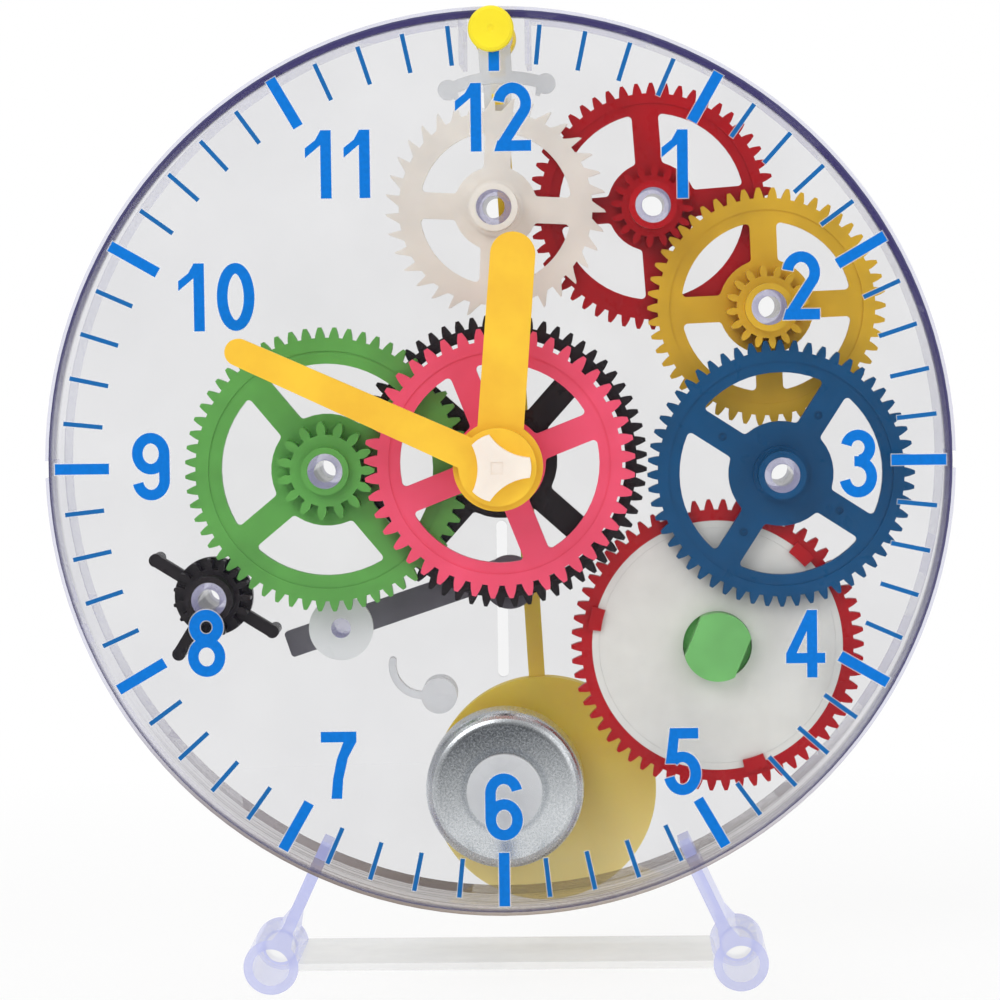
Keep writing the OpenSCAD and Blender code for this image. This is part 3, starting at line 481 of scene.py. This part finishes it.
def ribbon(path, width):
    """Quads of that width along a path of points."""
    quads = []
    half = width / 2
    normals = []
    for i in range(len(path)):
        before = Vector(path[max(i - 1, 0)])
        after = Vector(path[min(i + 1, len(path) - 1)])
        along = (after - before).normalized()
        normals.append(Vector((-along.y, along.x)) * half)
    for i in range(len(path) - 1):
        a, b = Vector(path[i]), Vector(path[i + 1])
        quads.append([a - normals[i], b - normals[i + 1], b + normals[i + 1], a + normals[i]])
    return quads


def digit_shapes(digit):
    """The polygons that make up a bold numeral, its lower left corner at the origin."""
    t, w, h = STROKE, DIGIT_W, DIGIT_H
    mid = w / 2
    rx = mid - t / 2
    ry = h / 2 - t / 2
    if digit == "0":
        return ribbon(arc(mid, h / 2, rx, ry, 0, 368, 48), t)
    if digit == "1":
        stem = 3.3
        return [
            [Vector(p) for p in ((stem, 0), (stem + t, 0), (stem + t, h), (stem, h))],
            [Vector(p) for p in ((0, 8.7), (stem + 0.1, 11.5), (stem + 0.1, h), (2.2, 12.5), (0, 10.8))],
        ]
    if digit == "2":
        bowl = arc(mid - 0.1, 10.15, rx, 3.3, 172, -28, 22)
        return ribbon(bowl + [(4.9, 6.2), (1.9, 1.6)], t) + [
            [Vector(p) for p in ((0, 0), (w - 0.2, 0), (w - 0.2, 2.3), (0.7, 2.3))]]
    if digit == "3":
        upper = arc(mid - 0.25, 10.75, rx - 0.35, 2.7, 168, -80, 22)
        lower = arc(mid - 0.25, 4.45, rx, 3.3, 85, -168, 24)
        return ribbon(upper, t) + ribbon(lower, t) + [
            [Vector(p) for p in ((3.0, 6.7), (4.5, 6.7), (4.5, 8.9), (3.0, 8.9))]]
    if digit == "4":
        return [
            [Vector(p) for p in ((4.5, 0), (6.7, 0), (6.7, h), (4.5, h))],
            [Vector(p) for p in ((0, 3.1), (w + 0.3, 3.1), (w + 0.3, 5.3), (0, 5.3))],
            [Vector(p) for p in ((0, 5.2), (2.2, 5.2), (4.9, 10.9), (4.9, h), (4.6, h))],
        ]
    if digit == "5":
        bowl = arc(mid - 0.15, 4.75, rx, 3.6, 132, -166, 26)
        return ribbon(bowl, t) + [
            [Vector(p) for p in ((1.4, h - 2.3), (7.4, h - 2.3), (7.4, h), (1.4, h))],
            [Vector(p) for p in ((0.3, 6.9), (2.6, 6.9), (3.4, h), (1.3, h))],
        ]
    if digit == "6":
        over = arc(mid, 10.2, rx, h - 10.2 - t / 2, 12, 180, 20)
        return ribbon(over + [(mid - rx, 4.5)], t) + ribbon(
            arc(mid, 4.5, rx, 4.5 - t / 2, 0, 369, 41), t)
    if digit == "7":
        return [
            [Vector(p) for p in ((0.2, h - 2.3), (w - 0.2, h - 2.3), (w - 0.2, h), (0.2, h))],
            [Vector(p) for p in (
                (2.3, 0), (4.6, 0), (4.9, 4.2), (6.0, 8.9), (w - 0.2, h - 2.2), (5.1, h - 2.2),
                (3.6, 8.6), (2.7, 4.2))],
        ]
    if digit == "8":
        return ribbon(arc(mid, 10.8, rx - 0.35, h - 10.8 - t / 2, 0, 369, 41), t) + ribbon(
            arc(mid, 4.35, rx, 4.35 - t / 2, 0, 369, 41), t)
    turned = Vector((w, h))
    return [[turned - p for p in shape] for shape in digit_shapes("6")]


def inside(point, shape):
    """True if a flat polygon holds the point."""
    held = False
    for a, b in zip(shape, shape[1:] + shape[:1]):
        if (a.y > point.y) != (b.y > point.y):
            if point.x < (b.x - a.x) * (point.y - a.y) / (b.y - a.y) + a.x:
                held = not held
    return held


def merge(shapes):
    """The union of flat polygons, as points and triangles."""
    points, faces = [], []
    for shape in shapes:
        area = sum(a.x * b.y - b.x * a.y for a, b in zip(shape, shape[1:] + shape[:1]))
        if area < 0:
            shape = shape[::-1]
        faces.append(list(range(len(points), len(points) + len(shape))))
        points += shape
    made = delaunay_2d_cdt(points, [], faces, 0, 1e-5)
    spots = made[0]
    kept = []
    for face in made[2]:
        middle = sum((spots[i] for i in face), Vector((0, 0))) / len(face)
        if any(inside(middle, shape) for shape in shapes):
            kept.append(face)
    return spots, kept


def grow(points, faces, width):
    """The same shape with a border of that width round it."""
    sides = {}
    for face in faces:
        for a, b in zip(face, face[1:] + face[:1]):
            sides.setdefault(frozenset((a, b)), []).append((a, b))
    border = [found[0] for found in sides.values() if len(found) == 1]
    shapes = [[Vector(points[i]) for i in face] for face in faces]
    for a, b in border:
        start, end = Vector(points[a]), Vector(points[b])
        along = (end - start).normalized() * width
        out = Vector((along.y, -along.x))
        shapes.append([start + out, end + out, end - out, start - out])
        shapes.append([end + Vector((math.cos(k), math.sin(k))) * width
                       for k in [math.pi * i / 4 for i in range(8)]])
    return merge(shapes)


def numeral(text):
    """A whole numeral's union, centred on the origin."""
    shapes, start = [], 0.0
    for digit in text:
        wide = 5.6 if digit == "1" else DIGIT_W
        shapes += [[p + Vector((start, 0)) for p in shape] for shape in digit_shapes(digit)]
        start += wide + (1.1 if digit != "1" else 2.7)
    left = min(p.x for shape in shapes for p in shape)
    right = max(p.x for shape in shapes for p in shape)
    middle = Vector(((left + right) / 2, DIGIT_H / 2))
    return merge([[p - middle for p in shape] for shape in shapes])


def ink(name, flats, out_mm, thick_mm, material):
    """Flat shapes on the dial as one thin solid. flats holds (points, faces, place)."""
    mesh = bmesh.new()
    for points, faces, place in flats:
        back = [mesh.verts.new(dial_point(p.x + place[0], p.y + place[1], out_mm)) for p in points]
        front = [mesh.verts.new(dial_point(p.x + place[0], p.y + place[1], out_mm + thick_mm))
                 for p in points]
        sides = {}
        for face in faces:
            mesh.faces.new([front[i] for i in face])
            mesh.faces.new([back[i] for i in reversed(face)])
            for a, b in zip(face, face[1:] + face[:1]):
                sides.setdefault(frozenset((a, b)), []).append((a, b))
        for found in sides.values():
            if len(found) == 1:
                a, b = found[0]
                mesh.faces.new([back[a], back[b], front[b], front[a]])
    bmesh.ops.recalc_face_normals(mesh, faces=mesh.faces)
    data = bpy.data.meshes.new(name)
    mesh.to_mesh(data)
    mesh.free()
    data.materials.append(material)
    piece = bpy.data.objects.new(name, data)
    bpy.context.scene.collection.objects.link(piece)
    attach(piece, "root")
    return piece


NUMERALS = [
    ("12", -0.3, 74.4), ("11", -33.8, 64.8), ("10", -60.3, 36.7), ("9", -75.1, 0.4),
    ("8", -63.8, -38.0), ("7", -35.5, -64.8), ("6", 0.1, -74.2), ("5", 38.8, -64.7),
    ("4", 65.5, -39.4), ("3", 77.1, -0.7), ("2", 65.2, 37.6), ("1", 38.4, 63.9),
]
HOUR_TICK = (84.2, 95.9, 2.3)
MINUTE_TICK = (85.9, 94.4, 0.95)


def tick(index, inner, outer, width, grown=0.0):
    angle = math.radians(90 - 6 * index)
    along = Vector((math.cos(angle), math.sin(angle)))
    across = Vector((-along.y, along.x)) * (width / 2 + grown)
    return [along * (inner - grown) - across, along * (outer + grown) - across,
            along * (outer + grown) + across, along * (inner - grown) + across]


def print_dial():
    numerals = [(*numeral(text), (x, z)) for text, x, z in NUMERALS]
    hours = [i for i in range(60) if i % 5 == 0]
    minutes = [i for i in range(60) if i % 5]
    origin = (0, 0)

    def flat(shape):
        return shape, [list(range(4))], origin

    hour_ticks = [flat(tick(i, *HOUR_TICK)) for i in hours]
    minute_ticks = [flat(tick(i, *MINUTE_TICK)) for i in minutes]
    ink("dial_numerals", numerals + hour_ticks, 0.03, INK_T, PRINT)
    ink("dial_minute_ticks", minute_ticks, 0.03, INK_T, PRINT_FINE)
    edges = [(*grow(points, faces, HALO_W), place) for points, faces, place in numerals]
    edges += [flat(tick(i, *HOUR_TICK, HALO_W)) for i in hours]
    edges += [flat(tick(i, *MINUTE_TICK, HALO_W * 0.8)) for i in minutes]
    ink("dial_print_edge", edges, 0.0, 0.03, HALO)


print_dial()

# ---- Floor, light and background ----

FLOOR_SIZE = 4.0
FLOOR_FADE = (0.14, 0.36)
FLOOR_WHITE = 0.82
KEY_LIGHT = ((-0.55, -0.95, 0.85), 0.7, 5.2)
FILL_LIGHT = ((0.8, -0.7, 0.5), 0.8, 2.2)
TOP_LIGHT = ((0.0, 0.15, 1.1), 0.9, 3.2)


def make_floor():
    mesh = bmesh.new()
    bmesh.ops.create_grid(mesh, x_segments=1, y_segments=1, size=FLOOR_SIZE / 2)
    data = bpy.data.meshes.new("floor")
    mesh.to_mesh(data)
    mesh.free()
    floor = bpy.data.objects.new("floor", data)
    floor.location = (0, 0, cad_low.z)
    bpy.context.scene.collection.objects.link(floor)
    material, tree, shader = new_material("floor_paper")
    shader.inputs["Roughness"].default_value = 0.9
    tone = blend_colours(tree, noise(tree, 3), (0.93, 0.93, 0.93, 1), (0.95, 0.95, 0.95, 1))
    tree.links.new(tone, shader.inputs["Base Color"])
    # Away from the object the floor runs out into the white background
    where = node(tree, "ShaderNodeTexCoord")
    far = node(tree, "ShaderNodeVectorMath", operation="LENGTH")
    tree.links.new(where.outputs["Object"], far.inputs[0])
    fade = spread(tree, far.outputs["Value"], FLOOR_WHITE, 1.0, *FLOOR_FADE)
    path = node(tree, "ShaderNodeLightPath")
    seen = node(tree, "ShaderNodeMath", operation="MAXIMUM")
    tree.links.new(path.outputs["Is Camera Ray"], seen.inputs[0])
    tree.links.new(path.outputs["Is Glossy Ray"], seen.inputs[1])
    share = node(tree, "ShaderNodeMath", operation="MULTIPLY")
    tree.links.new(fade, share.inputs[0])
    tree.links.new(seen.outputs[0], share.inputs[1])
    white = node(tree, "ShaderNodeEmission")
    white.inputs["Color"].default_value = (1, 1, 1, 1)
    mix = node(tree, "ShaderNodeMixShader")
    tree.links.new(share.outputs[0], mix.inputs[0])
    tree.links.new(shader.outputs[0], mix.inputs[1])
    tree.links.new(white.outputs[0], mix.inputs[2])
    tree.links.new(mix.outputs[0], tree.nodes["Material Output"].inputs["Surface"])
    data.materials.append(material)


def make_light(name, place, size, power):
    data = bpy.data.lights.new(name, "AREA")
    data.size = size
    data.energy = power
    light = bpy.data.objects.new(name, data)
    light.location = place
    aim = Vector((0, 0, DIAL_Z)) - Vector(place)
    light.rotation_euler = aim.to_track_quat("-Z", "Y").to_euler()
    bpy.context.scene.collection.objects.link(light)


def make_world(light_strength=0.55):
    """White to the camera and to transmission rays, softer as a light."""
    world = bpy.data.worlds.new("studio")
    world.use_nodes = True
    tree = world.node_tree
    back = tree.nodes["Background"]
    back.inputs["Color"].default_value = (1, 1, 1, 1)
    back.inputs["Strength"].default_value = light_strength
    bright = node(tree, "ShaderNodeBackground")
    bright.inputs["Color"].default_value = (1, 1, 1, 1)
    bright.inputs["Strength"].default_value = 1.0
    path = node(tree, "ShaderNodeLightPath")
    first = node(tree, "ShaderNodeMath", operation="MAXIMUM")
    tree.links.new(path.outputs["Is Camera Ray"], first.inputs[0])
    tree.links.new(path.outputs["Is Transmission Ray"], first.inputs[1])
    mix = node(tree, "ShaderNodeMixShader")
    tree.links.new(first.outputs[0], mix.inputs[0])
    tree.links.new(back.outputs[0], mix.inputs[1])
    tree.links.new(bright.outputs[0], mix.inputs[2])
    tree.links.new(mix.outputs[0], tree.nodes["World Output"].inputs["Surface"])
    bpy.context.scene.world = world


make_floor()
make_light("key_light", *KEY_LIGHT)
make_light("fill_light", *FILL_LIGHT)
make_light("top_light", *TOP_LIGHT)
make_world()
bpy.context.scene.view_settings.view_transform = "Standard"
# Sight and lamplight cross many clear surfaces between the dial and the bob
bpy.context.scene.cycles.transparent_max_bounces = 32
